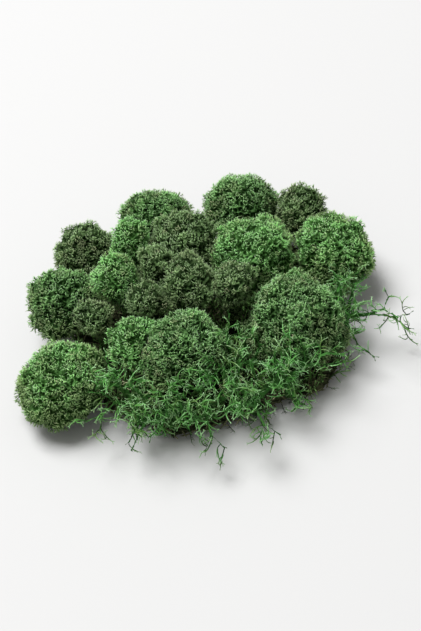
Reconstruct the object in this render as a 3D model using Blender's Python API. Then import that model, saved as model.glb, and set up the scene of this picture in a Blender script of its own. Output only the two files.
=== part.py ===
"""A clump of reindeer moss: dense rounded heads and open forked sprays that stand in a mat of old stems.

Units are metres, +Z is up, +X is to the right and -Y is the front.
The origin is on the surface that the clump rests on, under the middle of its outline.
"""

import math
import random

import bmesh
import bpy
from mathutils import Vector

MM = 0.001

# Each dense head: its name, the place of its middle from above and its radius in millimetres, and its shade
HEADS = (
    ("head_left_front", -82, -31, 27, "bright"),
    ("head_left_back", -74, 24, 22, "dull"),
    ("head_left_middle", -57, -3, 13, "dull"),
    ("head_inner_left", -38, 18, 17, "bright"),
    ("head_inner_small", -17, 16, 14, "dull"),
    ("head_low_left", -24, -8, 13, "dull"),
    ("head_middle", 0, 0, 18, "dull"),
    ("head_low_middle", 27, -9, 15, "dull"),
    ("head_back_middle", 4, 42, 22, "dull"),
    ("head_right_inner", 45, 25, 27, "bright"),
    ("head_right", 90, 20, 26, "bright"),
    ("head_right_front", 55, -31, 30, "medium"),
    ("head_front", -12, -41, 23, "medium"),
    ("head_front_small", -39, -30, 16, "bright"),
    ("head_back_left", -52, 60, 21, "dull"),
    ("head_back_small", -24, 43, 15, "bright"),
    ("head_back_right", 46, 71, 24, "medium"),
    ("head_back", -8, 78, 22, "medium"),
    ("head_back_right_small", 79, 57, 17, "dull"),
)

# Each open spray: its name, and its middle and radius in millimetres
SPRAYS = (
    ("spray_front_left", -56, -65, 18),
    ("spray_front_inner_left", -33, -83, 18),
    ("spray_front", -5, -81, 18),
    ("spray_front_right", 24, -82, 18),
    ("spray_front_inner_right", 19, -55, 14),
    ("spray_front_outer_right", 49, -74, 15),
    ("spray_right", 90, -27, 17),
)

# The mat of old stems, an oval slab that is cut level below
MAT_LENGTH = 160 * MM
MAT_WIDTH = 148 * MM
MAT_MIDDLE = Vector((8 * MM, 0))
MAT_HEIGHT = 11 * MM
MAT_RINGS = ((0.84, 0), (1, 4 * MM), (0.94, 7 * MM), (0.8, 8 * MM), (0.62, 8 * MM), (0.4, 8 * MM))
MAT_SIDE_BANDS = 2
MAT_ROUNDNESS = 2.5
MAT_SIDES = 40
MAT_WAVES = ((5, 0.035), (11, 0.021), (17, 0.014))
MAT_STUBS = (2 * MM, 6 * MM)
MAT_TOP_STUBS = (1 * MM, 3 * MM)
STUB_LEAN = 1.5 * MM

# The stalks and roots, which stand in plain holes in the mat
FOOT_DRAW_IN = 0.77
STALK_RADIUS = 3.4 * MM
STALK_SIDES = 6
STALK_DEPTH = 7 * MM
CLEARANCE = 0.3 * MM

# How low the growths may hang: clear of the mat, and past its rim down a slope to the surface below
OVER_MAT = MAT_HEIGHT + 2 * CLEARANCE
OVER_FLOOR = 2 * MM
RIM_SLOPE = 0.6

# The heads: how high they stand, their lobes and the tips all over them
CLUMP_HEIGHT = 60 * MM
EDGE_DROP = 20 * MM
CLUMP_REACH = 105 * MM
HEIGHT_CHANCE = 2.5 * MM
UNDERSIDE_DEPTH = 0.75
DOME_END = math.radians(120)
NECK_ANGLE = math.radians(133)
COLLAR_ANGLE = math.radians(148)
FOOT_ANGLE = math.radians(163)
NECK_SHARE = 0.5
NECK_DROP = 0.62
NECK_SHIFT = 0.3
FACE_AREA = 26 * MM * MM
FEWEST_LOBES = 3
LOBE_WIDTH = 16 * MM
LOBE_DEPTH = 0.2
LOBE_SPREAD = 0.62
TIP_LENGTH = (2 * MM, 3.5 * MM)
TIP_LEAN = 0.35
FORKED_SHARE = 0.16
FORK_HEIGHT = 3 * MM
FORK_RADIUS = 0.9 * MM

# The open sprays: stems that fork again and again
STEM_LENGTH = (11 * MM, 17 * MM)
STEM_RADIUS = 1.3 * MM
STEM_TAPER = 0.8
STEM_LEVELS = 4
STEM_DROOP = 0.16
FORK_SPREAD = 0.62
BOLE_HEIGHT = 5 * MM

# Colour (linear) and roughness of each shade of moss
FINISHES = {
    "bright": ((0.078, 0.178, 0.055, 1), 0.8),
    "medium": ((0.062, 0.137, 0.048, 1), 0.82),
    "dull": ((0.055, 0.105, 0.042, 1), 0.85),
    "open": ((0.085, 0.190, 0.060, 1), 0.75),
    "old": ((0.060, 0.066, 0.036, 1), 0.9),
}

GOLDEN_ANGLE = math.pi * (3 - math.sqrt(5))


def clear_scene():
    for item in list(bpy.data.objects):
        bpy.data.objects.remove(item, do_unlink=True)


def finish(name):
    """The dyed moss of one shade."""
    colour, roughness = FINISHES[name]
    material = bpy.data.materials.new(name + "_moss")
    material.use_nodes = True
    shader = material.node_tree.nodes["Principled BSDF"]
    shader.inputs["Base Color"].default_value = colour
    shader.inputs["Roughness"].default_value = roughness
    shader.inputs["Metallic"].default_value = 0
    material.diffuse_color = colour
    return material


def around_ring(count, radius=1.0, height=0.0):
    """Evenly spaced points on a level circle."""
    for step in range(count):
        around = math.tau * step / count
        yield Vector((radius * math.cos(around), radius * math.sin(around), height))


def even_directions(count, end, turn=0.0):
    """Directions spread evenly over a sphere, from straight up to the angle end."""
    for step in range(count):
        height = 1 - (1 - math.cos(end)) * (step + 0.5) / count
        around = step * GOLDEN_ANGLE + turn
        wide = math.sqrt(1 - height * height)
        yield Vector((wide * math.cos(around), wide * math.sin(around), height))


def mat_reach(around):
    """The reach of the mat from its middle in one direction."""
    x = abs(math.cos(around)) / (MAT_LENGTH / 2)
    y = abs(math.sin(around)) / (MAT_WIDTH / 2)
    reach = (x**MAT_ROUNDNESS + y**MAT_ROUNDNESS) ** (-1 / MAT_ROUNDNESS)
    return reach * (1 + sum(size * math.sin(waves * (around + 1)) for waves, size in MAT_WAVES))


def above_mat(point, thickness):
    """The point, raised where it must be to clear the mat, and past the mat's rim the surface below."""
    offset = point.to_2d() - MAT_MIDDLE
    past_rim = offset.length - mat_reach(math.atan2(offset.y, offset.x)) - MAT_STUBS[1]
    lowest = min(OVER_MAT, max(OVER_FLOOR, OVER_MAT - past_rim * RIM_SLOPE))
    return Vector((point.x, point.y, max(point.z, lowest + thickness)))


class Growth:
    """The room that one head or spray has between its neighbours, and the place where it stands in the mat.

    Neighbours are pressed flat against each other, so upright walls part them. A wall is a direction from
    the growth's middle and the distance to it.
    """

    def __init__(self, name, x, y, radius):
        self.name = name
        self.middle = Vector((x * MM, y * MM))
        self.radius = radius * MM
        self.walls = []
        self.foot = None

    def meet(self, others):
        """Sets the walls between this growth and all the others, and its foot in the mat."""
        for other in others:
            if other is not self:
                apart = other.middle - self.middle
                squares = self.radius**2 - other.radius**2
                share = 0.5 + squares / (2 * apart.length_squared)
                self.walls.append((apart.normalized(), share * apart.length - CLEARANCE))
        foot = (self.middle * FOOT_DRAW_IN).to_3d()
        self.foot = self.drawn_in(foot, STALK_RADIUS + CLEARANCE).to_2d()

    def drawn_in(self, point, thickness=0.0):
        """The point, moved towards the upright line through the middle until it clears the walls."""
        offset = point.to_2d() - self.middle
        for direction, distance in self.walls:
            reach = offset.dot(direction)
            if reach > distance - thickness:
                offset *= (distance - thickness) / reach
        return Vector((self.middle.x + offset.x, self.middle.y + offset.y, point.z))

    def place(self, point, thickness=0.0):
        """The point, where it clears the neighbours, the mat and the surface below."""
        return above_mat(self.drawn_in(point, thickness), thickness)

    def pressed(self, point):
        """Whether a point lies on a wall."""
        offset = point.to_2d() - self.middle
        return any(offset.dot(direction) > distance - CLEARANCE / 2 for direction, distance in self.walls)


def moss_object(name, bm, centre, material):
    """An object placed at centre, from a mesh in the clump's own coordinates."""
    bmesh.ops.translate(bm, verts=bm.verts, vec=-centre)
    bmesh.ops.triangulate(bm, faces=bm.faces)
    bmesh.ops.recalc_face_normals(bm, faces=bm.faces)
    mesh = bpy.data.meshes.new(name)
    bm.to_mesh(mesh)
    bm.free()
    mesh.materials.append(material)
    item = bpy.data.objects.new(name, mesh)
    item.location = centre
    bpy.context.scene.collection.objects.link(item)
    return item


def leaning(normal, chance):
    """A direction near a face's own."""
    lean = Vector([chance.uniform(-1, 1) for _ in range(3)]) * TIP_LEAN
    return (normal + lean).normalized()


def raise_tip(bm, face, tip):
    """Turns a face into the three sides of a pointed tip."""
    point = bmesh.ops.poke(bm, faces=[face])["verts"][0]
    point.co = tip


def branch(bm, face, direction, length, radius, levels, growth):
    """Draws a face out into a stem, which forks until its last level, the pointed tips."""
    middle = face.calc_center_median()
    end = growth.place(middle + direction * length, radius)
    if levels == 1:
        raise_tip(bm, face, end)
        return
    stem_end = bmesh.ops.extrude_discrete_faces(bm, faces=[face])["faces"][0]
    along = (end - middle).normalized()
    for vertex in stem_end.verts:
        offset = vertex.co - middle
        offset -= along * offset.dot(along)
        vertex.co = end + offset.normalized() * radius
    edge = max(stem_end.edges, key=lambda item: item.calc_length())
    far = next(vertex for vertex in stem_end.verts if vertex not in edge.verts)
    one_end, other_end = edge.verts
    across = (other_end.co - one_end.co).normalized()
    split = bmesh.utils.edge_split(edge, one_end, 0.5)[1]
    bmesh.utils.face_split(stem_end, far, split)
    for half in [item for item in far.link_faces if split in item.verts]:
        side = -1 if one_end in half.verts else 1
        heading = (direction + across * side * FORK_SPREAD - Vector((0, 0, STEM_DROOP))).normalized()
        branch(bm, half, heading, length * STEM_TAPER, radius * STEM_TAPER, levels - 1, growth)


def lobed(direction, lobes, width):
    """1 on the middle of a lobe, 0 in the furrows between lobes."""
    nearest = max(direction.dot(lobe) for lobe in lobes)
    across = math.acos(min(1, nearest)) / width
    return math.sqrt(max(0, 1 - across * across))


def head(growth, material, chance):
    """One dense head: a lobed dome with single and forked tips all over it, on a stalk."""
    middle, radius = growth.middle, growth.radius
    edge_drop = EDGE_DROP * (middle.length / CLUMP_REACH) ** 2
    centre_height = CLUMP_HEIGHT - edge_drop + chance.uniform(-1, 1) * HEIGHT_CHANCE - radius
    dome_area = math.tau * radius**2 * (1 - math.cos(DOME_END))
    lobe_count = max(FEWEST_LOBES, round(dome_area / LOBE_WIDTH**2))
    lobes = list(even_directions(lobe_count, DOME_END, chance.uniform(0, math.tau)))
    lobe_width = LOBE_SPREAD * LOBE_WIDTH / radius

    def dome_point(direction):
        reach = radius * (1 - LOBE_DEPTH * (1 - lobed(direction, lobes, lobe_width)))
        rise = direction.z if direction.z > 0 else direction.z * UNDERSIDE_DEPTH
        offset = Vector((direction.x, direction.y, rise)) * reach
        return growth.place(centre + offset)

    centre = Vector((middle.x, middle.y, centre_height))
    bm = bmesh.new()
    places = {}
    for direction in even_directions(round(dome_area / FACE_AREA / 2), DOME_END, chance.uniform(0, math.tau)):
        places[bm.verts.new(direction)] = dome_point(direction)
    dome = set(places)
    neck_height = max(centre_height - radius * NECK_DROP, OVER_MAT)
    neck = middle.lerp(growth.foot, NECK_SHIFT).to_3d()
    foot = growth.foot.to_3d()
    for angle, hub, wide, height in (
        (NECK_ANGLE, neck, radius * NECK_SHARE, neck_height),
        (COLLAR_ANGLE, foot, STALK_RADIUS, MAT_HEIGHT + CLEARANCE),
        (FOOT_ANGLE, foot, STALK_RADIUS, MAT_HEIGHT - STALK_DEPTH),
    ):
        flat = around_ring(STALK_SIDES, math.sin(angle), math.cos(angle))
        for direction, offset in zip(flat, around_ring(STALK_SIDES, wide, height)):
            places[bm.verts.new(direction)] = growth.drawn_in(hub + offset)
    bmesh.ops.convex_hull(bm, input=bm.verts)
    bmesh.ops.triangulate(bm, faces=bm.faces)
    for vertex, point in places.items():
        vertex.co = point
    bm.normal_update()
    for face in [item for item in bm.faces if all(vertex in dome for vertex in item.verts)]:
        pressed = [growth.pressed(vertex.co) for vertex in face.verts]
        if all(pressed):
            continue
        direction = leaning(face.normal, chance)
        if any(pressed) or chance.random() > FORKED_SHARE:
            rise = direction * chance.uniform(*TIP_LENGTH)
            raise_tip(bm, face, growth.place(face.calc_center_median() + rise))
        else:
            branch(bm, face, direction, FORK_HEIGHT, FORK_RADIUS, 2, growth)
    return moss_object(growth.name, bm, centre, material)


def mat(growths, material, chance):
    """The matted old stems: a slab with stem ends round its side and a hole for each stalk."""
    bm = bmesh.new()
    rings = []
    for share, height in MAT_RINGS:
        ring = []
        for direction in around_ring(MAT_SIDES):
            place = MAT_MIDDLE + direction.to_2d() * mat_reach(math.atan2(direction.y, direction.x)) * share
            ring.append(bm.verts.new((place.x, place.y, height)))
        rings.append(ring)
    bm.faces.new(reversed(rings[0]))
    bm.faces.new(rings[-1])
    for number, (lower, upper) in enumerate(zip(rings, rings[1:])):
        for step in range(MAT_SIDES):
            after = (step + 1) % MAT_SIDES
            face = bm.faces.new((lower[step], lower[after], upper[after], upper[step]))
            face.normal_update()
            if number < MAT_SIDE_BANDS:
                rise = Vector((face.normal.x, face.normal.y, 0)).normalized() * chance.uniform(*MAT_STUBS)
            else:
                lean = Vector((chance.uniform(-1, 1), chance.uniform(-1, 1), 0)) * STUB_LEAN
                rise = lean + Vector((0, 0, chance.uniform(*MAT_TOP_STUBS)))
            raise_tip(bm, face, face.calc_center_median() + rise)
    slab = moss_object("old_stem_mat", bm, Vector((0, 0, 0)), material)
    holes = bpy.data.collections.new("holes")
    for growth in growths:
        cut_stalk_hole(holes, growth)
    drill = slab.modifiers.new("stalk holes", "BOOLEAN")
    drill.operation = "DIFFERENCE"
    drill.operand_type = "COLLECTION"
    drill.collection = holes
    drill.solver = "EXACT"
    apply_and_clear(slab, holes)
    return slab


def cut_stalk_hole(holes, growth):
    """A cutter for one stalk's hole, as wide as the stalk and its clearance."""
    bm = bmesh.new()
    across = STALK_RADIUS + CLEARANCE / math.cos(math.pi / STALK_SIDES)
    for height in (MAT_HEIGHT - STALK_DEPTH - CLEARANCE, MAT_HEIGHT + STALK_DEPTH):
        for offset in around_ring(STALK_SIDES, across, height):
            bm.verts.new(growth.foot.to_3d() + offset)
    bmesh.ops.convex_hull(bm, input=bm.verts)
    mesh = bpy.data.meshes.new(growth.name + "_hole")
    bm.to_mesh(mesh)
    bm.free()
    cutter = bpy.data.objects.new(growth.name + "_hole", mesh)
    cutter.hide_render = True
    cutter.display_type = "WIRE"
    holes.objects.link(cutter)


def apply_and_clear(item, parts):
    """Makes an object's modifiers part of its mesh, and removes the collection that they used."""
    bpy.context.scene.collection.children.link(parts)
    graph = bpy.context.evaluated_depsgraph_get()
    mesh = bpy.data.meshes.new_from_object(item.evaluated_get(graph), depsgraph=graph)
    mesh.name = item.name
    item.modifiers.clear()
    item.data = mesh
    for part in list(parts.objects):
        bpy.data.objects.remove(part, do_unlink=True)
    bpy.data.collections.remove(parts)


def spray(growth, material, chance):
    """An open spray: forked stems drawn out of one bole, whose foot stands in the mat."""
    foot = growth.foot.to_3d()
    bm = bmesh.new()
    bole_top = MAT_HEIGHT + BOLE_HEIGHT
    for height in (MAT_HEIGHT - STALK_DEPTH, bole_top):
        for offset in around_ring(STALK_SIDES, STALK_RADIUS, height):
            bm.verts.new(foot + offset)
    bm.verts.new(foot + Vector((0, 0, bole_top + STALK_RADIUS)))
    bmesh.ops.convex_hull(bm, input=bm.verts)
    bmesh.ops.triangulate(bm, faces=bm.faces)
    bm.normal_update()
    for face in [item for item in bm.faces if item.calc_center_median().z > bole_top]:
        length = chance.uniform(*STEM_LENGTH)
        branch(bm, face, leaning(face.normal, chance), length, STEM_RADIUS, STEM_LEVELS, growth)
    return moss_object(growth.name, bm, foot, material)


def centre_on_origin(pieces):
    """Parents all pieces to an empty that stands the clump's outline centrally on the origin."""
    bpy.context.view_layer.update()
    corners = [piece.matrix_world @ vertex.co for piece in pieces for vertex in piece.data.vertices]
    low = [min(corner[axis] for corner in corners) for axis in range(3)]
    high = [max(corner[axis] for corner in corners) for axis in range(3)]
    clump = bpy.data.objects.new("clump", None)
    bpy.context.scene.collection.objects.link(clump)
    clump.location = (-(low[0] + high[0]) / 2, -(low[1] + high[1]) / 2, -low[2])
    for piece in pieces:
        piece.parent = clump


def main():
    clear_scene()
    finishes = {name: finish(name) for name in FINISHES}
    heads = [Growth(*sizes[:4]) for sizes in HEADS]
    sprays = [Growth(*sizes) for sizes in SPRAYS]
    growths = heads + sprays
    for growth in growths:
        growth.meet(growths)
    pieces = [mat(growths, finishes["old"], random.Random(1))]
    for number, (growth, sizes) in enumerate(zip(heads, HEADS)):
        pieces.append(head(growth, finishes[sizes[4]], random.Random(100 + number)))
    for number, growth in enumerate(sprays):
        pieces.append(spray(growth, finishes["open"], random.Random(200 + number)))
    centre_on_origin(pieces)


main()
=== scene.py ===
"""The finish of one clump of preserved reindeer moss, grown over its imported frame.

Units are metres, +Z is up, +X is to the right and -Y is the front, as in the frame.
"""

import math
import random

import bmesh
import bpy
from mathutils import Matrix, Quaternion, Vector
from mathutils.bvhtree import BVHTree


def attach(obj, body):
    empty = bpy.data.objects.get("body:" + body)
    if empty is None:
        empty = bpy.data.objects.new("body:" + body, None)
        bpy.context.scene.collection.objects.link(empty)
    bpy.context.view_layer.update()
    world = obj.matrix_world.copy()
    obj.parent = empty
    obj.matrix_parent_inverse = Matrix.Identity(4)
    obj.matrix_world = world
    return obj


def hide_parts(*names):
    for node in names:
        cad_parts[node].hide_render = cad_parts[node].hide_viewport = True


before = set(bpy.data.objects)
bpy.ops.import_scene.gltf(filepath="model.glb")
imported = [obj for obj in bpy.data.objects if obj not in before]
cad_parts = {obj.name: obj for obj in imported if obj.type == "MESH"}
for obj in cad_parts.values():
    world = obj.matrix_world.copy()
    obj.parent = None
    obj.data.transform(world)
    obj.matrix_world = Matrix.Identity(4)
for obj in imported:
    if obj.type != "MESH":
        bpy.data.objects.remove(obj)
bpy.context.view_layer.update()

MM = 0.001

# Mat of old stems
# The dead lower stems of the cushion, brown-green and wiry, matted together and cut level below. It is what
# the clump rests on, and it holds the stalk of every head and spray. Only the plants' own tangle binds it.


class Value:
    """A number on its way through the nodes. An expression on it adds its Math nodes."""

    def __init__(self, nodes, socket):
        self.nodes = nodes
        self.socket = socket

    def calculated(self, operation, *terms):
        return self.nodes.value("ShaderNodeMath", {"operation": operation}, dict(enumerate(terms)))

    def __add__(self, other):
        return self.calculated("ADD", self, other)

    __radd__ = __add__

    def __sub__(self, other):
        return self.calculated("SUBTRACT", self, other)

    def __rsub__(self, other):
        return self.calculated("SUBTRACT", other, self)

    def __mul__(self, other):
        return self.calculated("MULTIPLY", self, other)

    __rmul__ = __mul__

    def __rtruediv__(self, other):
        return self.calculated("DIVIDE", other, self)

    def __lt__(self, other):
        return self.calculated("LESS_THAN", self, other)


class Nodes:
    """A tree of nodes that is being built, for a material or for geometry."""

    def __init__(self, tree):
        self.tree = tree

    def node(self, kind, settings=(), sockets=()):
        """Adds a node: its settings first, then the values or links of its sockets, by name or number."""
        item = self.tree.nodes.new(kind)
        for name, setting in dict(settings).items():
            setattr(item, name, setting)
        for key, given in dict(sockets).items():
            socket = item.inputs[key] if isinstance(key, int) else self.shown(item.inputs, key)
            if isinstance(given, Value):
                self.tree.links.new(given.socket, socket)
            else:
                socket.default_value = given
        return item

    def value(self, kind, settings=(), sockets=(), output=None):
        """Adds a node and returns one of its outputs, the first that is in use unless it is named."""
        return Value(self, self.shown(self.node(kind, settings, sockets).outputs, output))

    @staticmethod
    def shown(sockets, name=None):
        """The first socket that is in use, or the first of that name."""
        return next(item for item in sockets if item.enabled and name in (None, item.name))

    def mix(self, factor, low, high):
        """A colour between two."""
        return self.value("ShaderNodeMix", {"data_type": "RGBA"}, {"Factor": factor, "A": low, "B": high})

    def between(self, value, start, end, low=0.0, high=1.0):
        """The value, spread smoothly from low at start to high at end."""
        sockets = {"Value": value, "From Min": start, "From Max": end, "To Min": low, "To Max": high}
        return self.value("ShaderNodeMapRange", {"interpolation_type": "SMOOTHSTEP"}, sockets)

    def upward(self, vector):
        """How far a vector reaches up."""
        return self.value("ShaderNodeSeparateXYZ", {}, {"Vector": vector}, "Z")

    def attribute(self, name):
        """A material's reading of a number that the mesh carries."""
        return self.value("ShaderNodeAttribute", {"attribute_name": name}, output="Fac")

    def noise(self, vector, size, detail=2.0):
        """Cloudy patches of about this size, from 0 to 1."""
        return self.value("ShaderNodeTexNoise", {}, {"Vector": vector, "Scale": 1 / size, "Detail": detail})


def opaque(colour):
    return (*colour, 1)


# Where the moss fades: the patches' size and spread, and what a tuft's tone and a low place add to them
FADED_PATCH = 16 * MM
FADED_RANGE = (0.55, 0.95)
TONE_FADE = 0.3
LOW_FADE = 0.23
TIP_FADE = 0.6

# The height on a branch where its body colour is reached, the tips above it, and the few tufts that are dry
BODY_HEIGHT = 0.55
TIP_PALENESS = (0.35, 1.0)
DRY_TONES = (0.965, 0.985)
DRY_COLOUR = (0.80, 0.78, 0.48)

# How much colour is left in the creases between lumps, where the darkening is painted shade, and at the
# bottom of the clump, where it is partly painted shade and partly older, darker stems
CREASE_PAINTED_LIGHT = 0.55
DEEPEST_AGE_AND_SHADE = 0.35

# A matte skin with a very fine grain
MOSS_GLOSS = 0.08
GRAIN_SIZE = 0.5 * MM
GRAIN_DETAIL = 1.0
GRAIN_STRENGTH = 0.4
GRAIN_DEPTH = 0.1 * MM


def moss_material(name, colours, roughness, deep, dulling=None):
    """Moss, in the colours of its roots, its body, its tips, and the one it fades to in patches.

    Downwards it darkens between the two heights of deep, partly as painted shade and partly for the older,
    darker stems low down. It darkens in the creases between lumps too, which is painted shade. It fades
    downwards too, between the first two numbers of dulling and by the third, or else a little over deep.
    """
    root, body, tip, faded = [opaque(colour) for colour in colours]
    low, high, share = dulling or (*deep, LOW_FADE)
    material = bpy.data.materials.new(name)
    material.use_nodes = True
    nodes = Nodes(material.node_tree)
    shader = material.node_tree.nodes["Principled BSDF"]
    place = nodes.value("ShaderNodeTexCoord", output="Object")
    height = nodes.attribute("height")
    tone = nodes.attribute("tone")
    lump = nodes.attribute("lump")
    above = nodes.upward(place)
    # Darker low down: partly painted shade, partly the older, darker stems there
    depth = nodes.between(above, *deep) * (1 - DEEPEST_AGE_AND_SHADE) + DEEPEST_AGE_AND_SHADE
    patches = nodes.noise(place, FADED_PATCH) + tone * TONE_FADE + nodes.between(above, low, high, share, 0)
    fading = nodes.between(patches, *FADED_RANGE)
    lit = nodes.mix(fading, body, faded)
    pale = nodes.mix(fading * TIP_FADE, tip, faded)
    # Painted shade: the colour goes towards the root colour in the creases between lumps and low down, as
    # well as down each branch
    shade = nodes.between(height * (CREASE_PAINTED_LIGHT + (1 - CREASE_PAINTED_LIGHT) * lump), 0, BODY_HEIGHT) * depth
    # The root colour at branch bases and on the bare surface: partly the darker old base of the branches,
    # partly painted shade in the depths of the clump
    colour = nodes.mix(shade, root, lit)
    paleness = nodes.between(height, BODY_HEIGHT, 1) * nodes.between(tone, 0, 1, *TIP_PALENESS) * depth
    colour = nodes.mix(paleness, colour, pale)
    dry = nodes.between(tone, *DRY_TONES) * nodes.between(height, BODY_HEIGHT, 1)
    colour = nodes.mix(dry, colour, opaque(DRY_COLOUR))
    material.node_tree.links.new(colour.socket, shader.inputs["Base Color"])
    shader.inputs["Roughness"].default_value = roughness
    shader.inputs["Specular IOR Level"].default_value = MOSS_GLOSS
    grain = {
        "Height": nodes.noise(place, GRAIN_SIZE, GRAIN_DETAIL),
        "Strength": GRAIN_STRENGTH,
        "Distance": GRAIN_DEPTH,
    }
    bump = nodes.value("ShaderNodeBump", {}, grain)
    material.node_tree.links.new(bump.socket, shader.inputs["Normal"])
    return material


JOINED = 0.001 * MM


def copy_of(node, name):
    """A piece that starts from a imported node's surface, with its loose triangles joined."""
    bm = bmesh.new()
    bm.from_mesh(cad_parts[node].data)
    bmesh.ops.remove_doubles(bm, verts=bm.verts, dist=JOINED)
    mesh = bpy.data.meshes.new(name)
    bm.to_mesh(mesh)
    bm.free()
    piece = bpy.data.objects.new(name, mesh)
    bpy.context.scene.collection.objects.link(piece)
    return piece


def settled(piece):
    """Makes the piece's modifiers part of its mesh."""
    graph = bpy.context.evaluated_depsgraph_get()
    mesh = bpy.data.meshes.new_from_object(piece.evaluated_get(graph), depsgraph=graph)
    mesh.name = piece.name
    piece.modifiers.clear()
    piece.data = mesh


def softened(piece, grain, rounds):
    """Remakes the piece's surface in even faces and smooths it."""
    remesh = piece.modifiers.new("even faces", "REMESH")
    remesh.mode = "VOXEL"
    remesh.voxel_size = grain
    smooth = piece.modifiers.new("smooth", "SMOOTH")
    smooth.iterations = rounds
    settled(piece)


# The sizes that each piece gives for its growths, and what else it gives
GROWTH_SIZES = (
    "Spacing",
    "Least Room",
    "Full Room",
    "Smallest",
    "Least Size",
    "Lean",
    "Rise",
    "Surface Height",
    "Below",
    "Lump Size",
    "Lump Depth",
    "Net Size",
    "Net Depth",
    "Netted",
)
GROWTH_INPUTS = {
    "Geometry": "NodeSocketGeometry",
    "Growths": "NodeSocketCollection",
    "Material": "NodeSocketMaterial",
    **dict.fromkeys(GROWTH_SIZES, "NodeSocketFloat"),
    "Seed": "NodeSocketInt",
    "Bare": "NodeSocketBool",
}

# The lumps of a surface: round cells, finer ones among them, and a slow swell where there is room for it
LUMP_RANGE = (0.62, 0.12)
LUMP_SMOOTHNESS = 0.35
FINE_LUMPS = 0.3
FINE_LUMP_SIZE = 0.45
LUMP_SWELL = 0.5
LUMP_ROOM = 3 * MM
UNEVEN_SIZE = 24 * MM
UNEVEN_SHARE = 4.0

# The net of ridges on it, the part of each that growths stand on, and how squarely the underside faces down
NET_RIDGE = (0.03, 0.22)
RIDGE_EDGE = (0.6, 1.0)
UNDERSIDE = (-0.9, -0.6)

# How many forms of each small shape are made
SHAPE_FORMS = 6


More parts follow.
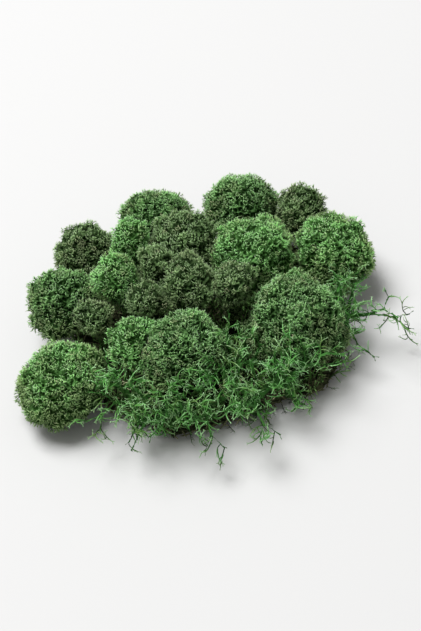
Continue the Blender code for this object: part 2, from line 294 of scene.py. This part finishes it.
def growth_tree():
    """The nodes that cover a piece with small growths, all set upright on its surface and turned by chance.

    The surface first swells in lumps and sinks in hollows between the ridges of a net. Growths stand on the
    ridges, fewer of them underneath, smaller where another piece is near and none where it is too near.
    """
    tree = bpy.data.node_groups.new("growths on a surface", "GeometryNodeTree")
    nodes = Nodes(tree)
    for name, kind in GROWTH_INPUTS.items():
        tree.interface.new_socket(name, in_out="INPUT", socket_type=kind)
    tree.interface.new_socket("Geometry", in_out="OUTPUT", socket_type="NodeSocketGeometry")
    group = tree.nodes.new("NodeGroupInput")
    given = {socket.name: Value(nodes, socket) for socket in group.outputs if socket.name}

    def chance(low, high, stream):
        sockets = {"Min": low, "Max": high, "Seed": given["Seed"] + stream}
        return nodes.value("FunctionNodeRandomValue", {"data_type": "FLOAT"}, sockets)

    def named(name):
        return nodes.value("GeometryNodeInputNamedAttribute", {"data_type": "FLOAT"}, {"Name": name})

    def stored(geometry, name, value):
        sockets = {"Geometry": geometry, "Name": name, "Value": value}
        return nodes.value("GeometryNodeStoreNamedAttribute", {"data_type": "FLOAT"}, sockets)

    def moved(geometry, offset):
        return nodes.value("GeometryNodeSetPosition", {}, {"Geometry": geometry, "Offset": offset})

    def along(vector, length):
        sockets = {"Vector": vector, "Scale": length}
        return nodes.value("ShaderNodeVectorMath", {"operation": "SCALE"}, sockets)

    def lumps(size):
        cells = {"Vector": place, "Scale": 1 / size, "Smoothness": LUMP_SMOOTHNESS}
        distance = nodes.value("ShaderNodeTexVoronoi", {"feature": "SMOOTH_F1"}, cells, "Distance")
        return nodes.between(distance, *LUMP_RANGE)

    place = nodes.value("GeometryNodeInputPosition")
    normal = nodes.value("GeometryNodeInputNormal")
    lump_size = given["Lump Size"]
    lump = lumps(lump_size) * (1 - FINE_LUMPS) + lumps(lump_size * FINE_LUMP_SIZE) * FINE_LUMPS
    uneven = nodes.noise(place, UNEVEN_SIZE) - 0.5
    cells = {"Vector": place, "Scale": 1 / given["Net Size"]}
    edge = nodes.value("ShaderNodeTexVoronoi", {"feature": "DISTANCE_TO_EDGE"}, cells)
    # The lumps are kept for the materials, which paint shade into the creases between them
    surface = stored(given["Geometry"], "lump", lump)
    surface = stored(surface, "hollow", nodes.between(edge, *NET_RIDGE) * given["Netted"])
    # The bare surface gets a low height, none in the net's hollows, so it takes the dark root colour: painted
    # shade under the growths
    surface = stored(surface, "height", given["Surface Height"] * (1 - named("hollow")))
    room = named("room")
    swell = (LUMP_SWELL + uneven * UNEVEN_SHARE) * nodes.between(room, 0.0, LUMP_ROOM)
    surface = moved(surface, along(normal, (named("lump") - 1 + swell) * given["Lump Depth"]))
    netted = moved(surface, along(normal, named("hollow") * given["Net Depth"] * -1))

    density = 1 / (given["Spacing"] * given["Spacing"])
    share = nodes.between(nodes.upward(normal), *UNDERSIDE, given["Below"], 1.0)
    share = share * nodes.between(named("hollow"), *RIDGE_EDGE, 1.0, 0.0)
    sockets = {
        "Mesh": surface,
        "Distance Min": given["Spacing"],
        "Density Max": density,
        "Density Factor": share,
        "Seed": given["Seed"],
    }
    spread = nodes.node("GeometryNodeDistributePointsOnFaces", {"distribute_method": "POISSON"}, sockets)
    points = Value(nodes, spread.outputs["Points"])
    straight = Value(nodes, spread.outputs["Normal"])
    crowded = room < given["Least Room"]
    points = nodes.value("GeometryNodeDeleteGeometry", {}, {"Geometry": points, "Selection": crowded})
    points = stored(points, "tone", chance(0.0, 1.0, 1))

    sockets = {"X": chance(-1.0, 1.0, 2), "Y": chance(-1.0, 1.0, 3), "Z": given["Rise"]}
    lean = nodes.value("ShaderNodeCombineXYZ", {}, sockets)
    lean = along(lean, given["Lean"] * nodes.between(nodes.upward(straight), *UNDERSIDE))
    heading = nodes.value("ShaderNodeVectorMath", {"operation": "ADD"}, {0: straight, 1: lean})
    upright = nodes.value("FunctionNodeAlignRotationToVector", {"axis": "Z"}, {"Vector": heading})
    sockets = {"Axis": (0, 0, 1), "Angle": chance(0.0, math.tau, 4)}
    turn = nodes.value("FunctionNodeAxisAngleToRotation", {}, sockets)
    sockets = {"Rotation": upright, "Rotate By": turn}
    turned = nodes.value("FunctionNodeRotateRotation", {"rotation_space": "LOCAL"}, sockets)
    size = nodes.between(room, given["Least Room"], given["Full Room"], given["Smallest"], 1.0)
    size = size * chance(given["Least Size"], 1.0, 5)
    sockets = {"Collection": given["Growths"], "Separate Children": True, "Reset Children": True}
    shapes = nodes.value("GeometryNodeCollectionInfo", {}, sockets)
    sockets = {
        "Points": points,
        "Instance": shapes,
        "Pick Instance": True,
        "Instance Index": chance(0.0, SHAPE_FORMS - 0.01, 6),
        "Rotation": turned,
        "Scale": size,
    }
    grown = nodes.value("GeometryNodeInstanceOnPoints", {}, sockets)
    grown = nodes.value("GeometryNodeRealizeInstances", {}, {"Geometry": grown})

    whole = nodes.node("GeometryNodeJoinGeometry")
    tree.links.new(grown.socket, whole.inputs[0])
    sockets = {"False": netted, "Switch": given["Bare"]}
    surface = nodes.value("GeometryNodeSwitch", {"input_type": "GEOMETRY"}, sockets)
    tree.links.new(surface.socket, whole.inputs[0])
    whole = Value(nodes, whole.outputs[0])
    flat = nodes.value("ShaderNodeVectorMath", {"operation": "MULTIPLY"}, {0: place, 1: (1, 1, 0)})
    sockets = {"Geometry": whole, "Selection": nodes.upward(place) < 0.0, "Position": flat}
    whole = nodes.value("GeometryNodeSetPosition", {}, sockets)
    whole = nodes.value("GeometryNodeSetMaterial", {}, {"Geometry": whole, "Material": given["Material"]})
    output = tree.nodes.new("NodeGroupOutput")
    tree.links.new(whole.socket, output.inputs["Geometry"])
    return tree


growths = growth_tree()


def cover(piece, **sizes):
    """Grows the small shapes over a piece, and makes the result its mesh."""
    modifier = piece.modifiers.new("growths", "NODES")
    modifier.node_group = growths
    for item in growths.interface.items_tree:
        name = item.name.lower().replace(" ", "_")
        if name in sizes:
            modifier[item.identifier] = sizes[name]
    settled(piece)


def shape_collection(name, make_shape, seed):
    """A collection of a few forms of one small shape, for a kind of piece to be covered with."""
    chance = random.Random(seed)
    collection = bpy.data.collections.new(name)
    for number in range(SHAPE_FORMS):
        bm = bmesh.new()
        bm.verts.layers.float.new("height")
        make_shape(bm, chance)
        bmesh.ops.recalc_face_normals(bm, faces=bm.faces)
        for face in bm.faces:
            face.smooth = True
        mesh = bpy.data.meshes.new(f"{make_shape.__name__}_{number}")
        bm.to_mesh(mesh)
        bm.free()
        collection.objects.link(bpy.data.objects.new(mesh.name, mesh))
    return collection


STRAND_SIDES = 3
STRAND_TAPER = 0.35
ODD_DIRECTION = Vector((0.36, 0.48, 0.8))


def strand(bm, path, thickness, low, high):
    """A closed tube along a path, from a point to a blunt end. Its heights run from low to high."""
    height = bm.verts.layers.float["height"]
    last = len(path) - 1
    rings = []
    for step, point in enumerate(path):
        along = (path[min(step + 1, last)] - path[max(step - 1, 0)]).normalized()
        side = along.cross(ODD_DIRECTION).normalized()
        up = side.cross(along)
        ring = []
        for corner in range(STRAND_SIDES if step else 1):
            around = math.tau * corner / STRAND_SIDES
            wide = thickness / 2 * (1 - STRAND_TAPER * step / last) if step else 0
            vertex = bm.verts.new(point + (side * math.cos(around) + up * math.sin(around)) * wide)
            vertex[height] = low + (high - low) * step / last
            ring.append(vertex)
        rings.append(ring)
    for lower, upper in zip(rings, rings[1:]):
        for corner in range(STRAND_SIDES):
            after = (corner + 1) % STRAND_SIDES
            loop = (lower[corner % len(lower)], lower[after % len(lower)], upper[after], upper[corner])
            bm.faces.new(dict.fromkeys(loop))
    bm.faces.new(rings[-1])


OLD_STEM_LENGTH = 15 * MM
OLD_STEM_SHORTEST = 0.7
OLD_STEM_THICKNESS = 1.2 * MM
OLD_STEM_BOW = 0.3
OLD_STEM_ARCH = 0.7 * MM
OLD_STEM_BENDS = 5
OLD_STEM_HEIGHTS = (0.5, 1.0)


def old_stem(bm, chance):
    """A wiry length of dead stem that lies along the surface."""
    length = chance.uniform(OLD_STEM_SHORTEST, 1) * OLD_STEM_LENGTH
    bow = chance.uniform(-OLD_STEM_BOW, OLD_STEM_BOW) * length
    path = []
    for step in range(OLD_STEM_BENDS + 1):
        arch = math.sin(math.pi * step / OLD_STEM_BENDS)
        path.append(Vector(((step / OLD_STEM_BENDS - 0.5) * length, bow * arch, OLD_STEM_ARCH * arch)))
    strand(bm, path, OLD_STEM_THICKNESS, *OLD_STEM_HEIGHTS)


# The mat's own grain, and its colours at the root, along the body, at the tip and where it fades
MAT_GRAIN = 1.5 * MM
MAT_SMOOTHING = 8
OLD_COLOURS = (
    (0.026, 0.032, 0.015), (0.160, 0.170, 0.085), (0.290, 0.295, 0.160), (0.160, 0.170, 0.085)
)
OLD_ROUGHNESS = 0.9
# Between these heights the mat darkens downwards, partly as painted shade
OLD_DEEP = (-5 * MM, 8 * MM)

mat = copy_of("old_stem_mat", "matted_old_stems")
softened(mat, MAT_GRAIN, MAT_SMOOTHING)
for vertex in mat.data.vertices:
    vertex.co.z = max(vertex.co.z, OLD_STEM_THICKNESS)
mat_surface = mat.data.copy()
cover(
    mat,
    growths=shape_collection("old stems", old_stem, seed=11),
    material=moss_material("old_stems", OLD_COLOURS, OLD_ROUGHNESS, OLD_DEEP),
    spacing=2.9 * MM,
    least_room=-MM,
    full_room=0.0,
    least_size=0.7,
    lean=0.25,
    rise=0.0,
    surface_height=0.35,
    below=0.55,
    lump_size=14 * MM,
    lump_depth=0.5 * MM,
    net_size=3.4 * MM,
    net_depth=1.6 * MM,
    netted=1.0,
    seed=3,
)
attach(mat, "root")
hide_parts("old_stem_mat")

# Standing stems
# The younger stems that rise from the mat between the stalks, bare and forked, up to the undersides of the
# heads and, where nothing stands over them, into the open. They are still green towards their ends.

UP = Vector((0, 0, 1))


def chance_direction(chance):
    return Vector([chance.uniform(-1, 1) for _ in range(3)])


def bent_path(start, heading, length, steps, bend, chance):
    """Points along a branch that starts in one direction and bends by chance."""
    path = [start]
    for _ in range(steps):
        heading = (heading + chance_direction(chance) * bend).normalized()
        path.append(path[-1] + heading * length / steps)
    return path


STANDING_HEIGHT = 24 * MM
STANDING_THICKNESS = 1.1 * MM
STANDING_FOOT = -MM
STANDING_STEPS = 5
STANDING_BEND = 0.25
STANDING_SHARE = 0.8
SIDE_STEMS = 5
SIDE_STEM_SHARE = (0.2, 0.36)
SIDE_STEM_RISE = (0.5, 1.1)
SIDE_STEM_STEPS = 3
SIDE_STEM_BEND = 0.35
SIDE_STEM_THINNING = 0.8


def standing_stem(bm, chance):
    """A thin stem with a few side branches, and its foot in the mat."""
    foot = UP * STANDING_FOOT
    path = bent_path(foot, UP, STANDING_HEIGHT * STANDING_SHARE, STANDING_STEPS, STANDING_BEND, chance)
    strand(bm, path, STANDING_THICKNESS, 0.0, STANDING_SHARE)
    for branch in range(SIDE_STEMS):
        share = (branch + 1) / SIDE_STEMS
        start = path[1 + round(share * (STANDING_STEPS - 2))]
        out = Vector((chance.uniform(-1, 1), chance.uniform(-1, 1), chance.uniform(*SIDE_STEM_RISE)))
        length = STANDING_HEIGHT * chance.uniform(*SIDE_STEM_SHARE)
        side_path = bent_path(start, out.normalized(), length, SIDE_STEM_STEPS, SIDE_STEM_BEND, chance)
        strand(bm, side_path, STANDING_THICKNESS * SIDE_STEM_THINNING, share / 2, 1.0)


LEVEL_ENOUGH = 0.5
RIM_STEM_ROOM = 12 * MM


def measure_headroom(piece):
    """Gives each point of the mat the height over it that is free for a stem to stand in."""
    above = []
    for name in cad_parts:
        if name != "old_stem_mat":
            bm = bmesh.new()
            bm.from_mesh(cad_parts[name].data)
            above.append(BVHTree.FromBMesh(bm))
            bm.free()
    room = piece.data.attributes.new("room", "FLOAT", "POINT")
    for index, vertex in enumerate(piece.data.vertices):
        found = [tree.ray_cast(vertex.co + UP * MM, UP)[3] for tree in above]
        free = min([distance for distance in found if distance is not None] + [STANDING_HEIGHT])
        room.data[index].value = free if vertex.normal.z > LEVEL_ENOUGH else RIM_STEM_ROOM


# Root, body, tip and faded colours; the dark root colour is partly painted shade
STANDING_COLOURS = (
    (0.006, 0.020, 0.002), (0.110, 0.260, 0.060), (0.300, 0.560, 0.180), (0.120, 0.180, 0.060)
)
STANDING_ROUGHNESS = 0.8
# Between these heights the stems darken downwards, partly as painted shade and partly for older stems
STANDING_DEEP = (-6 * MM, 26 * MM)
STANDING_LEAST = 5 * MM

standing = bpy.data.objects.new("standing_stems", mat_surface)
bpy.context.scene.collection.objects.link(standing)
measure_headroom(standing)
cover(
    standing,
    growths=shape_collection("standing stems", standing_stem, seed=12),
    material=moss_material("standing_stems", STANDING_COLOURS, STANDING_ROUGHNESS, STANDING_DEEP),
    spacing=3.3 * MM,
    least_room=STANDING_LEAST,
    full_room=STANDING_HEIGHT,
    smallest=STANDING_LEAST / STANDING_HEIGHT,
    least_size=0.8,
    lean=0.3,
    rise=0.2,
    below=0.0,
    lump_size=14 * MM,
    lump_depth=0.5 * MM,
    seed=4,
    bare=True,
)
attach(standing, "root")

# Dense heads
# Each head is one plant's crown: a lobed ball of branches whose ends open in small stars, four or five
# forked prongs round a hollow. The stars cover it closely. Dye takes better on some heads than on others,
# and each head is duller low down than at its top.

HEADS = {
    "head_left_front": "bright",
    "head_left_back": "medium",
    "head_left_middle": "dull",
    "head_inner_left": "bright",
    "head_inner_small": "dull",
    "head_low_left": "dull",
    "head_middle": "dull",
    "head_low_middle": "dull",
    "head_back_middle": "dull",
    "head_right_inner": "bright",
    "head_right": "bright",
    "head_right_front": "medium",
    "head_front": "medium",
    "head_front_small": "bright",
    "head_back_left": "dull",
    "head_back_small": "bright",
    "head_back_right": "medium",
    "head_back": "medium",
    "head_back_right_small": "dull",
}
# Root, body, tip and faded colours for each dye; the near-black root colours are partly painted shade in the
# depths
HEAD_FINISHES = {
    "bright": ((0.014, 0.055, 0.006), (0.430, 0.940, 0.290), (0.800, 1.000, 0.740), (0.440, 0.660, 0.250)),
    "medium": ((0.006, 0.030, 0.003), (0.370, 0.750, 0.250), (0.740, 0.970, 0.680), (0.330, 0.480, 0.190)),
    "dull": ((0.006, 0.024, 0.003), (0.340, 0.550, 0.215), (0.680, 0.850, 0.580), (0.320, 0.420, 0.190)),
}
HEAD_ROUGHNESS = 0.75
# Between these heights a head darkens downwards, partly as painted shade on its lower sides and partly for
# older stems
HEAD_DEEP = (0, 30 * MM)
HEAD_DULLING = (14 * MM, 50 * MM, 0.35)
HEAD_GRAIN = 2.3 * MM
HEAD_SMOOTHING = 5
HEAD_FINE_GRAIN = 1.1 * MM
HEAD_FINE_SMOOTHING = 3

PRONG_THICKNESS = 0.6 * MM
PRONG_ROOT_HEIGHT = 0.11


def prong(bm, root, elbow, sideways, points):
    """One prong of a star: a spindle that rises from the root and forks into two points."""
    height = bm.verts.layers.float["height"]
    up = sideways.cross(elbow - root).normalized()
    start = bm.verts.new(root)
    start[height] = PRONG_ROOT_HEIGHT
    left, top, right, bottom = ring = [
        bm.verts.new(elbow + offset * PRONG_THICKNESS / 2) for offset in (-sideways, up, sideways, -up)
    ]
    for one, other in zip(ring, ring[1:] + ring[:1]):
        bm.faces.new((start, one, other))
    for side, point in zip((left, right), points):
        end = bm.verts.new(point)
        end[height] = 1.0
        for one, other in ((side, top), (top, bottom), (bottom, side)):
            bm.faces.new((one, other, end))
    for vertex in ring:
        vertex[height] = BODY_HEIGHT


FORK_LENGTH = 1.5 * MM
FORK_RISE = (0.0, 0.9)
FORK_OUT = (-0.2, 0.8)
FORK_ASIDE = (0.4, 0.9)


def fork(out, sideways, chance):
    """The way from the fork of a prong to one of its points."""
    rise = UP * chance.uniform(*FORK_RISE)
    return (out * chance.uniform(*FORK_OUT) + sideways * chance.uniform(*FORK_ASIDE) + rise) * FORK_LENGTH


STAR_PRONGS = (4, 5)
STAR_HEIGHT = 3.3 * MM
STAR_REACH = 2.2 * MM
PRONG_STRAY = 0.3
ELBOW_RISE = (0.3, 0.65)
ELBOW_REACH = (0.4, 0.7)
ROOT_REACH = 0.1
ROOT_DEPTH = 0.3


def star(bm, chance):
    """The open end of a branch: forked prongs that stand round a hollow."""
    count = chance.randint(*STAR_PRONGS)
    turn = chance.uniform(0, math.tau)
    for number in range(count):
        around = turn + math.tau * (number + chance.uniform(-PRONG_STRAY, PRONG_STRAY)) / count
        out = Vector((math.cos(around), math.sin(around), 0))
        sideways = Vector((-out.y, out.x, 0))
        rise = UP * STAR_HEIGHT * chance.uniform(*ELBOW_RISE)
        elbow = out * STAR_REACH * chance.uniform(*ELBOW_REACH) + rise
        root = out * STAR_REACH * ROOT_REACH - UP * STAR_HEIGHT * ROOT_DEPTH
        points = [elbow + fork(out, sideways * side, chance) for side in (-1, 1)]
        prong(bm, root, elbow, sideways, points)


FAR = 20 * MM


def measure_room(piece, node):
    """Gives each point of the piece the free distance to the other nodes and to the surface below."""
    corners = []
    faces = []
    for name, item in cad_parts.items():
        if name != node:
            first = len(corners)
            corners.extend(vertex.co for vertex in item.data.vertices)
            faces.extend([first + index for index in face.vertices] for face in item.data.polygons)
    neighbours = BVHTree.FromPolygons(corners, faces)
    room = piece.data.attributes.new("room", "FLOAT", "POINT")
    for index, vertex in enumerate(piece.data.vertices):
        apart = neighbours.find_nearest(vertex.co, FAR)[3]
        room.data[index].value = min(FAR if apart is None else apart, max(vertex.co.z, 0))


stars = shape_collection("stars", star, seed=21)
head_moss = {
    shade: moss_material(shade + "_moss", colours, HEAD_ROUGHNESS, HEAD_DEEP, HEAD_DULLING)
    for shade, colours in HEAD_FINISHES.items()
}
for number, (node, shade) in enumerate(HEADS.items()):
    head = copy_of(node, node.replace("head", "crown"))
    softened(head, HEAD_GRAIN, HEAD_SMOOTHING)
    softened(head, HEAD_FINE_GRAIN, HEAD_FINE_SMOOTHING)
    measure_room(head, node)
    cover(
        head,
        growths=stars,
        material=head_moss[shade],
        spacing=1.62 * MM,
        least_room=0.6 * MM,
        full_room=2.8 * MM,
        smallest=0.6,
        least_size=0.6,
        lean=0.45,
        rise=0.2,
        surface_height=0.26,
        below=0.6,
        lump_size=13 * MM,
        lump_depth=3.4 * MM,
        net_size=2.7 * MM,
        net_depth=2.0 * MM,
        netted=1.0,
        seed=100 + number,
    )
    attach(head, "root")
    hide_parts(node)

# Open sprays
# Where the cushion has no crowded crown, its branches show: springy round strands that fork again and again,
# brighter than the heads because light reaches them. Each spray stands on one root in the mat.

SPRAYS = (
    "spray_front_left",
    "spray_front_inner_left",
    "spray_front",
    "spray_front_right",
    "spray_front_inner_right",
    "spray_front_outer_right",
    "spray_right",
)
# Root, body, tip and faded colours; the near-black root colour is partly painted shade in the tangle
OPEN_COLOURS = (
    (0.003, 0.022, 0.002), (0.150, 0.470, 0.100), (0.680, 1.000, 0.600), (0.200, 0.360, 0.100)
)
OPEN_ROUGHNESS = 0.7
# Between these heights the sprays darken downwards, partly as painted shade and partly for older stems
OPEN_DEEP = (-8 * MM, 38 * MM)

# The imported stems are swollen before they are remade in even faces, and drawn in again after, to stay whole
STRAND_SWELL = 0.6 * MM
STRAND_GRAIN = 0.75 * MM
STRAND_SMOOTHING = 7
STRAND_SHRINK = 0.35 * MM

CURL_UNEVENNESS = (0.4, 1.6)


def curled_path(start, heading, length, steps, curl, chance):
    """Points along a branch that curls one way, a little unevenly."""
    axis = heading.cross(chance_direction(chance)).normalized()
    path = [start]
    for _ in range(steps):
        heading = Quaternion(axis, curl * chance.uniform(*CURL_UNEVENNESS) / steps) @ heading
        path.append(path[-1] + heading * length / steps)
    return path


TWIG_FORK = 2.2 * MM
TWIG_FORK_SHARE = (0.6, 1.0)
TWIG_FORK_ASIDE = (0.5, 1.0)
TWIG_END_HEIGHT = 0.85
TWIG_FORK_HEIGHTS = (0.7, 1.0)


def forked_strand(bm, path, thickness, low, chance):
    """A strand whose end opens in two short prongs."""
    strand(bm, path, thickness, low, TWIG_END_HEIGHT)
    end = path[-1]
    ahead = (end - path[-2]).normalized()
    aside = ahead.cross(chance_direction(chance)).normalized()
    for side in (-1, 1):
        heading = (ahead + aside * side * chance.uniform(*TWIG_FORK_ASIDE)).normalized()
        length = TWIG_FORK * chance.uniform(*TWIG_FORK_SHARE)
        fork_path = [end - ahead * thickness, end + heading * length * 0.5, end + heading * length]
        strand(bm, fork_path, thickness * (1 - STRAND_TAPER), *TWIG_FORK_HEIGHTS)


TWIG_LENGTH = 16 * MM
TWIG_THICKNESS = 1.0 * MM
TWIG_CURL = 2.0
TWIG_STEPS = 7
SIDE_TWIG_PLACES = (2, 3, 4)
SIDE_TWIG_STEPS = 4
SIDE_TWIG_SHARE = (0.25, 0.5)
SIDE_TWIG_ASIDE = (0.7, 1.4)
SIDE_TWIG_CURL = (0.5, 1.0)
SIDE_TWIG_THINNING = 0.8
SIDE_TWIG_HEIGHT = 0.3


def twig(bm, chance):
    """A side branch of a spray: a strand that curls, with shorter ones forking from it."""
    path = curled_path(UP * -TWIG_THICKNESS, UP, TWIG_LENGTH, TWIG_STEPS, TWIG_CURL, chance)
    forked_strand(bm, path, TWIG_THICKNESS, 0.0, chance)
    for place in SIDE_TWIG_PLACES:
        start = path[place]
        ahead = (path[place + 1] - start).normalized()
        aside = ahead.cross(chance_direction(chance)).normalized()
        out = (ahead + aside * chance.uniform(*SIDE_TWIG_ASIDE)).normalized()
        length = TWIG_LENGTH * chance.uniform(*SIDE_TWIG_SHARE)
        curl = TWIG_CURL * chance.uniform(*SIDE_TWIG_CURL)
        side_path = curled_path(start, out, length, SIDE_TWIG_STEPS, curl, chance)
        forked_strand(bm, side_path, TWIG_THICKNESS * SIDE_TWIG_THINNING, SIDE_TWIG_HEIGHT, chance)


def thickened(piece, amount):
    """Moves the piece's surface out along its normals, or in where the amount is negative."""
    thicker = piece.modifiers.new("thicker", "DISPLACE")
    thicker.strength = amount
    thicker.mid_level = 0
    settled(piece)


def without_scraps(piece):
    """Keeps the largest connected part of the piece, and drops the specks that its thinnest ends leave."""
    bm = bmesh.new()
    bm.from_mesh(piece.data)
    left = set(bm.verts)
    parts = []
    while left:
        front = {left.pop()}
        part = set(front)
        while front:
            front = {edge.other_vert(vertex) for vertex in front for edge in vertex.link_edges} - part
            part |= front
        left -= part
        parts.append(part)
    parts.sort(key=len)
    bmesh.ops.delete(bm, geom=[vertex for part in parts[:-1] for vertex in part], context="VERTS")
    bm.to_mesh(piece.data)
    bm.free()


twigs = shape_collection("twigs", twig, seed=31)
open_moss = moss_material("open_stems", OPEN_COLOURS, OPEN_ROUGHNESS, OPEN_DEEP)
for number, node in enumerate(SPRAYS):
    spray = copy_of(node, node.replace("spray", "strands"))
    thickened(spray, STRAND_SWELL)
    softened(spray, STRAND_GRAIN, STRAND_SMOOTHING)
    without_scraps(spray)
    thickened(spray, -STRAND_SHRINK)
    measure_room(spray, node)
    cover(
        spray,
        growths=twigs,
        material=open_moss,
        spacing=2.7 * MM,
        least_room=0.6 * MM,
        full_room=2.5 * MM,
        smallest=0.5,
        least_size=0.6,
        lean=0.6,
        rise=0.8,
        surface_height=0.3,
        below=1.0,
        lump_size=8 * MM,
        lump_depth=0.0,
        seed=200 + number,
    )
    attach(spray, "root")
    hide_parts(node)

# Floor, light and camera
# The clump stands on a plain pale surface in soft light from above and a little behind, and is seen from the
# front, from halfway up.

FLOOR_SIZE = 4
FLOOR_COLOUR = (0.64, 0.64, 0.64)
FLOOR_ROUGHNESS = 0.9

bm = bmesh.new()
bmesh.ops.create_grid(bm, x_segments=1, y_segments=1, size=FLOOR_SIZE / 2)
floor_mesh = bpy.data.meshes.new("floor")
bm.to_mesh(floor_mesh)
bm.free()
floor = bpy.data.objects.new("floor", floor_mesh)
bpy.context.scene.collection.objects.link(floor)
floor_paint = bpy.data.materials.new("floor")
floor_paint.use_nodes = True
floor_shader = floor_paint.node_tree.nodes["Principled BSDF"]
floor_shader.inputs["Base Color"].default_value = opaque(FLOOR_COLOUR)
floor_shader.inputs["Roughness"].default_value = FLOOR_ROUGHNESS
floor_mesh.materials.append(floor_paint)

SKY_COLOUR = (1.0, 0.99, 0.97)
SKY_STRENGTH = 0.33
LAMP_POWER = 170
LAMP_SIZE = 2.1
LAMP_PLACE = Vector((-0.9, 0.9, 3.4))
AIM = Vector((0, -0.004, 0.026))

world = bpy.data.worlds.new("studio")
world.use_nodes = True
sky = world.node_tree.nodes["Background"]
sky.inputs["Color"].default_value = opaque(SKY_COLOUR)
sky.inputs["Strength"].default_value = SKY_STRENGTH
bpy.context.scene.world = world

lamp_data = bpy.data.lights.new("softbox", "AREA")
lamp_data.energy = LAMP_POWER
lamp_data.size = LAMP_SIZE
lamp = bpy.data.objects.new("softbox", lamp_data)
lamp.location = LAMP_PLACE
lamp.rotation_euler = (AIM - LAMP_PLACE).to_track_quat("-Z", "Y").to_euler()
bpy.context.scene.collection.objects.link(lamp)

CAMERA_DISTANCE = 0.94
CAMERA_RISE = math.radians(46.5)
CAMERA_TURN = math.radians(-5.3)
CAMERA_ROLL = math.radians(-9.1)
CAMERA_LENS = 92

camera_data = bpy.data.cameras.new("camera")
camera_data.lens = CAMERA_LENS
camera = bpy.data.objects.new("camera", camera_data)
level = math.cos(CAMERA_RISE)
away = Vector((math.sin(CAMERA_TURN) * level, -math.cos(CAMERA_TURN) * level, math.sin(CAMERA_RISE)))
camera.location = AIM + away * CAMERA_DISTANCE
facing = (-away).to_track_quat("-Z", "Y") @ Quaternion(UP, CAMERA_ROLL)
camera.rotation_euler = facing.to_euler()
bpy.context.scene.collection.objects.link(camera)
bpy.context.scene.camera = camera
bpy.context.scene.view_settings.view_transform = "Standard"
